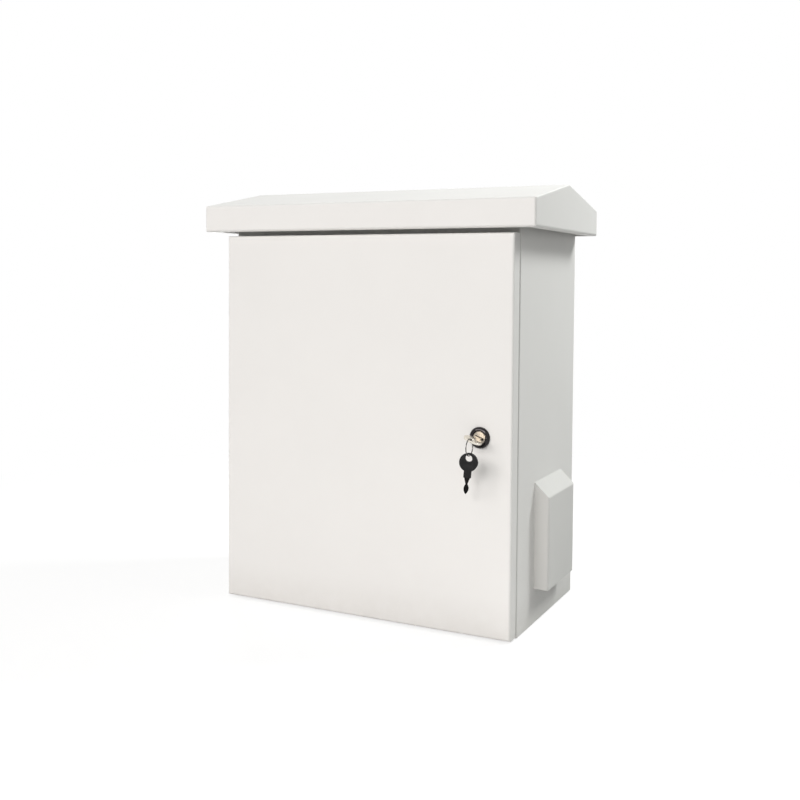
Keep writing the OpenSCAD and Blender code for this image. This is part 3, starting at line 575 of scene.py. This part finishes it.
def threadTree(look):  # one helical ridge, set on every stud
    tree, gin, gout = geometryTree("studThread", {
        "Radius": "Float", "Rise": "Float", "Pitch": "Float", "Depth": "Float", "Turn": "Vector",
    })
    section = addNode(tree, "GeometryNodeCurvePrimitiveCircle", Resolution=look["sides"])
    wire(tree, gin.outputs["Depth"], section.inputs["Radius"])
    turns = mathNode(tree, "DIVIDE", gin.outputs["Rise"], gin.outputs["Pitch"])
    sweep = sweepCoil(tree, gin, turns, section.outputs[0], look["turnSteps"])
    return endTree(tree, gin, gout, copyOnPoints(tree, gin, sweep).outputs[0])


studThread = threadTree(threadLook)


def cutThread(name, spots, look, turn, finish, body):
    piece = growPiece(name, studThread, {
        **threadLook, "Radius": look["radius"], "Rise": look["length"],
        "Turn": turn, "Finish": finishes[finish],
    }, spots)
    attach(piece, body)


# each thread ends a little short of the tip of its stud
low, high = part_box("plate_studs")
collar, start = plateThread["collar"], low.y + plateThread["tip"] + plateThread["length"]
columns, rows = (low.x + collar, high.x - collar), (low.z + collar, high.z - collar)
spots = [(x, start, z) for x in columns for z in rows]
cutThread("plateStudThreads", spots, plateThread, (quarterTurn, 0, 0), "steel", "cabinet")
high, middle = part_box("earth_stud")[1], nodeMiddle("earth_stud")
spot = (high.x - earthThread["tip"] - earthThread["length"], middle.y, middle.z)
cutThread("earthStudThread", [spot], earthThread, (0, quarterTurn, 0), "brass", "cabinet")
high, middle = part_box("door_earth_stud")[1], nodeMiddle("door_earth_stud")
spot = (middle.x, high.y - doorThread["tip"] - doorThread["length"], middle.z)
cutThread("doorEarthThread", [spot], doorThread, (-quarterTurn, 0, 0), "brass", "door")
print("threads cut")


def lathe(name, profile, steps):  # turned piece about Z from (radius, height) points
    shape = bmesh.new()
    verts = [shape.verts.new((r, 0, h)) for r, h in profile]
    for a, b in zip(verts, verts[1:]):
        shape.edges.new((a, b))
    line = shape.verts[:] + shape.edges[:]
    bmesh.ops.spin(shape, geom=line, cent=(0, 0, 0), axis=(0, 0, 1), angle=2 * math.pi, steps=steps)
    bmesh.ops.remove_doubles(shape, verts=shape.verts, dist=mergeGap)
    bmesh.ops.recalc_face_normals(shape, faces=shape.faces)
    mesh = meshFrom(name, shape)
    smoothFaces(mesh)
    return addObject(name, mesh)


def placeTree():  # a turned piece set on points
    tree, gin, gout = geometryTree("setOnPoints", {"Source": "Object", "Turn": "Vector", "Size": "Float"})
    source = tree.nodes.new("GeometryNodeObjectInfo")
    wire(tree, gin.outputs["Source"], source.inputs["Object"])
    copies = copyOnPoints(tree, gin, source.outputs["Geometry"])
    wire(tree, gin.outputs["Size"], copies.inputs["Scale"])
    return endTree(tree, gin, gout, copies.outputs[0])


setOnPoints = placeTree()


def scatter(name, source, spots, turn, finish):
    values = {"Source": source, "Turn": turn, "Size": 1.0, "Finish": finishes[finish]}
    return growPiece(name, setOnPoints, values, spots)


def joinPieces(name, parts):
    shape = bmesh.new()
    for part in parts:
        shape.from_mesh(part.data)
    mesh = meshFrom(name, shape)
    mesh.materials.append(parts[0].data.materials[0])
    for part in parts:
        old = part.data
        bpy.data.objects.remove(part)
        bpy.data.meshes.remove(old)
    return addObject(name, mesh)


rivetLook = {"shank": 0.0016, "head": 0.0032, "dome": 0.00128, "grip": 0.0022, "steps": 24}


def makeRivets(look):  # blind rivets: a dome with the broken stem inside it, and a rolled tail outside
    r, head, dome, grip = look["shank"], look["head"], look["dome"], look["grip"]
    profile = [
        (0, -dome * 0.55), (r * 0.45, -dome * 0.55),  # broken stem
        (r * 0.5, -dome * 0.95), (r * 0.8, -dome * 0.98), (head * 0.72, -dome * 0.72),  # dome
        (head * 0.95, -dome * 0.3), (head, 0),
        (r, 0), (r, grip), (r * 1.55, grip),  # shank through both sheets
        (r * 1.6, grip + dome * 0.4), (r * 1.3, grip + dome * 0.9), (0, grip + dome),  # rolled tail
    ]
    source = lathe("rivetShape", profile, look["steps"])
    low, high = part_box("vent_rivets")
    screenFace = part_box("vent_screen_right")[0].x
    rows = [(y, z) for y in (low.y + head, high.y - head) for z in (low.z + head, high.z - head)]
    sides = []
    for name, side in (("rivetsRight", 1), ("rivetsLeft", -1)):
        spots = [(side * screenFace, y, z) for y, z in rows]
        sides.append(scatter(name, source, spots, (0, side * quarterTurn, 0), "zinc"))
    bpy.data.objects.remove(source)
    made = joinPieces("blindRivets", sides)
    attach(made, "cabinet")
    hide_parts("vent_rivets")


makeRivets(rivetLook)
print("rivets set")


bezelLook = {
    "mouth": (0.00775, 0.00354),  # radius and height over the door, here and below
    "crest": (0.0089, 0.00446),
    "rim": (0.01265, 0.0015),
    "seat": (0.01040, 0.00140, 0.00214),  # middle and radius of the bezel's own rounding, with play
    "lift": 0.00002,  # keeps its foot off the door's face
    "arcSteps": 10,
    "steps": 96,
}


def quarterArc(middle, reach, steps, start=0.0):  # points on a quarter of an ellipse from an angle on
    turns = [start + quarterTurn * i / steps for i in range(steps + 1)]
    return [(middle[0] + reach[0] * math.sin(t), middle[1] + reach[1] * math.cos(t)) for t in turns]


def makeBezel(look):  # polished crown of the lock, turned to fit over the bezel's solid
    mouth, crest, rim, steps = look["mouth"], look["crest"], look["rim"], look["arcSteps"]
    roundR, roundH, reach = look["seat"]
    inward = (crest[0] - mouth[0], crest[1] - mouth[1])
    outward = (rim[0] - crest[0], crest[1] - rim[1])
    lip = quarterArc((crest[0], mouth[1]), inward, steps, -quarterTurn)
    crown = quarterArc((crest[0], rim[1]), outward, steps)
    seat = quarterArc((roundR, roundH), (reach, reach), steps)
    foot = [(rim[0], look["lift"]), (seat[-1][0], look["lift"])]
    source = lathe("bezelShape", lip + crown[1:] + foot + seat[::-1] + lip[:1], look["steps"])
    middle = nodeMiddle("lock_body")
    spot = (middle.x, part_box("door_pan")[0].y, middle.z)
    made = scatter("lockBezelCrown", source, [spot], (quarterTurn, 0, 0), "chrome")
    bpy.data.objects.remove(source)
    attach(made, "door")


makeBezel(bezelLook)
print("bezel turned")


screwLook = {
    "shank": 0.002,
    "tip": 0.0004,
    "head": 0.004,
    "crown": 0.0024,
    "recess": 0.0016,
    "slot": 0.0009,
    "wings": 1.15,  # span of the recess, as a share of the head's radius
    "turn": 0.4,  # in radians, as the screws happened to stop
    "steps": 32,
}


def crossCut(look):  # four-winged cutter for the driver recess
    shape = bmesh.new()
    for turn in (0, quarterTurn):
        box = bmesh.ops.create_cube(shape, size=1.0)["verts"]
        span = (look["head"] * look["wings"], look["slot"], look["recess"] * 2)
        bmesh.ops.scale(shape, verts=box, vec=span)
        bmesh.ops.rotate(shape, verts=box, cent=(0, 0, 0), matrix=Matrix.Rotation(turn, 3, "Z"))
        bmesh.ops.translate(shape, verts=box, vec=(0, 0, look["crown"]))
    return addObject("recessCut", meshFrom("recessCut", shape))


def makeScrews(look):  # pan heads with a cross recess that hold the cable entry plate
    r, head, crown = look["shank"], look["head"], look["crown"]
    low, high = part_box("entry_screws")
    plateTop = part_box("entry_plate")[1].z
    drop = plateTop - low.z
    profile = [
        (0, -drop), (r * 0.8, -drop), (r, -drop + look["tip"]), (r, 0), (head, 0),  # shank
        (head * 0.99, crown * 0.45), (head * 0.88, crown * 0.78), (head * 0.66, crown * 0.95),  # pan head
        (head * 0.35, crown), (0, crown),
    ]
    source = lathe("screwShape", profile, look["steps"])
    cutter = crossCut(look)
    carve = source.modifiers.new("recess", "BOOLEAN")
    carve.operation, carve.solver, carve.object = "DIFFERENCE", "EXACT", cutter
    carve.use_self = True
    source.data = freezeMesh(source)
    bpy.data.objects.remove(cutter)
    columns, rows = (low.x + head, high.x - head), (low.y + head, high.y - head)
    spots = [(x, y, plateTop) for x in columns for y in rows]
    made = scatter("entryScrewHeads", source, spots, (0, 0, look["turn"]), "steel")
    bpy.data.objects.remove(source)
    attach(made, "cabinet")
    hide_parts("entry_screws")


makeScrews(screwLook)
print("entry screws set")


edgeLook = {
    "widths": {
        "spare_key_head": 0.0007, "lock_key": 0.00022, "spare_key_blade": 0.0002, "lock_cam": 0.0003,
    },
    "segments": 3,
    "sharp": math.radians(40),  # only edges that turn by more than this are rounded
    "flat": math.radians(1),  # faces that turn by less than this are one face
}


def softenEdges(look):  # small edge rounding on the handled pieces
    for name, width in look["widths"].items():
        source = nodes[name]
        shape = bmesh.new()
        shape.from_mesh(source.data)
        bmesh.ops.remove_doubles(shape, verts=shape.verts, dist=mergeGap)
        bmesh.ops.dissolve_limit(shape, angle_limit=look["flat"], verts=shape.verts, edges=shape.edges)
        mesh = meshFrom(name + "Soft", shape)
        mesh.materials.append(source.data.materials[0])
        made = addObject(name + "Soft", mesh)
        bevel = made.modifiers.new("edge", "BEVEL")
        bevel.width, bevel.segments = width, look["segments"]
        bevel.limit_method, bevel.angle_limit = "ANGLE", look["sharp"]
        made.data = freezeMesh(made)
        smoothFaces(made.data)
        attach(made, source["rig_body"])
        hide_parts(name)


softenEdges(edgeLook)
print("edges softened")


floorLook = {
    "half": 8.0,
    "drop": 0.0006,  # keeps the floor clear of the cabinet's base
    "bounce": (0.31, 0.31, 0.305),  # what lights the object from below
    "sheet": (0.92, 0.90, 0.895),  # white paper on the floor before the door
    "sheetEdge": (-0.02, -0.25),
    "seen": (0.42, 0.42, 0.42),  # what the lens sees, with the lift added
    "lift": 0.68,
    "clear": (0.55, 1.15),  # the shadow fades out to plain white between these distances
}


def rayMask(tree):  # rays that see the backdrop, as the lens does
    path = tree.nodes.new("ShaderNodeLightPath")
    seen = mathNode(tree, "MAXIMUM", path.outputs["Is Camera Ray"], path.outputs["Is Glossy Ray"])
    return mathNode(tree, "MAXIMUM", seen, path.outputs["Is Transmission Ray"])


def mixShaders(tree, mask, first, second):
    made = tree.nodes.new("ShaderNodeMixShader")
    for socket, value in zip(made.inputs, (mask, first, second)):
        wire(tree, value, socket)
    return made.outputs[0]


def makeFloor(look):  # pale paper: white to the lens but for the object's soft shadow
    mesh = bpy.data.meshes.new("studioFloor")
    s, z = look["half"], -look["drop"]
    mesh.from_pydata([(-s, -s, z), (s, -s, z), (s, s, z), (-s, s, z)], [], [(0, 1, 2, 3)])
    made = addObject("studioFloor", mesh)
    paint, tree, shader = newFinish("floorPaint", Roughness=1.0, Specular_IOR_Level=0.0)
    seen = rayMask(tree)
    lift = addNode(tree, "ShaderNodeEmission", Strength=look["lift"])
    white = addNode(tree, "ShaderNodeEmission", Strength=1.0)
    near = tree.nodes.new("ShaderNodeAddShader")
    wire(tree, shader.outputs[0], near.inputs[0])
    wire(tree, lift.outputs[0], near.inputs[1])
    place = objectPlace(tree)
    reach = addNode(tree, "ShaderNodeVectorMath", operation="LENGTH")
    wire(tree, place, reach.inputs[0])
    start, end = look["clear"]
    far = mapRange(tree, reach.outputs["Value"],
                   interpolation_type="SMOOTHSTEP", From_Min=start, From_Max=end)
    start, end = look["sheetEdge"]
    ahead = mapRange(tree, alongAxis(tree, place, "Y"), From_Min=start, From_Max=end)
    sheet = mathNode(tree, "MULTIPLY", ahead, mathNode(tree, "SUBTRACT", 1.0, far))
    tone = blendColour(tree, sheet, look["bounce"], look["sheet"])
    wire(tree, blendColour(tree, seen, tone, look["seen"]), shader.inputs["Base Color"])
    lens = mixShaders(tree, far, near.outputs[0], white.outputs[0])
    surface = mixShaders(tree, seen, shader.outputs[0], lens)
    wire(tree, surface, tree.nodes["Material Output"].inputs["Surface"])
    mesh.materials.append(paint)


makeFloor(floorLook)
print("floor laid")


skyLook = {"tint": (0.975, 1.0, 0.985), "strength": 0.29}


def makeSky(look):
    sky = bpy.data.worlds.new("studioSky")
    scene.world = sky
    sky.use_nodes = True
    tree = sky.node_tree
    tree.nodes.clear()
    soft = addNode(tree, "ShaderNodeBackground", Color=(*look["tint"], 1.0), Strength=look["strength"])
    white = addNode(tree, "ShaderNodeBackground", Color=(1, 1, 1, 1), Strength=1.0)
    out = tree.nodes.new("ShaderNodeOutputWorld")
    wire(tree, mixShaders(tree, rayMask(tree), soft.outputs[0], white.outputs[0]), out.inputs["Surface"])


makeSky(skyLook)

lampLooks = [
    {
        "name": "keySoftbox", "place": (-0.9, -3.7, 1.65), "aim": (0.0, -0.1, 0.25),
        "size": (3.0, 1.2), "watts": 77.0, "tint": (1.0, 0.955, 0.945),
    },
    {
        "name": "fillSoftbox", "place": (0.4, -3.3, 1.55), "aim": (0.0, -0.1, 0.25),
        "size": (1.0, 1.0), "watts": 23.0, "tint": (1.0, 0.97, 0.96),
    },
    {
        "name": "topSoftbox", "place": (-0.3, 0.1, 2.4), "aim": (0.0, 0.0, 0.5),
        "size": (2.0, 2.0), "watts": 5.2, "tint": (0.92, 0.97, 1.0),
    },
    {
        "name": "backSoftbox", "place": (-1.7, 1.9, 0.4), "aim": (-0.1, 0.0, 0.25),
        "size": (0.7, 0.7), "watts": 26.0, "tint": (1.0, 1.0, 0.99),
    },
    {
        "name": "sideSoftbox", "place": (1.0, 0.75, 1.42), "aim": (0.2, 0.0, 0.3),
        "size": (0.45, 0.45), "watts": 17.2, "tint": (0.985, 1.0, 0.985),
    },
]


def makeLamp(look):
    data = bpy.data.lights.new(look["name"], "AREA")
    data.shape = "RECTANGLE"
    data.size, data.size_y = look["size"]
    data.energy, data.color = look["watts"], look["tint"]
    lamp = addObject(look["name"], data)
    lamp.location = look["place"]
    way = Vector(look["aim"]) - Vector(look["place"])
    lamp.rotation_euler = way.to_track_quat("-Z", "Y").to_euler()


for look in lampLooks:
    makeLamp(look)
print("studio lit")
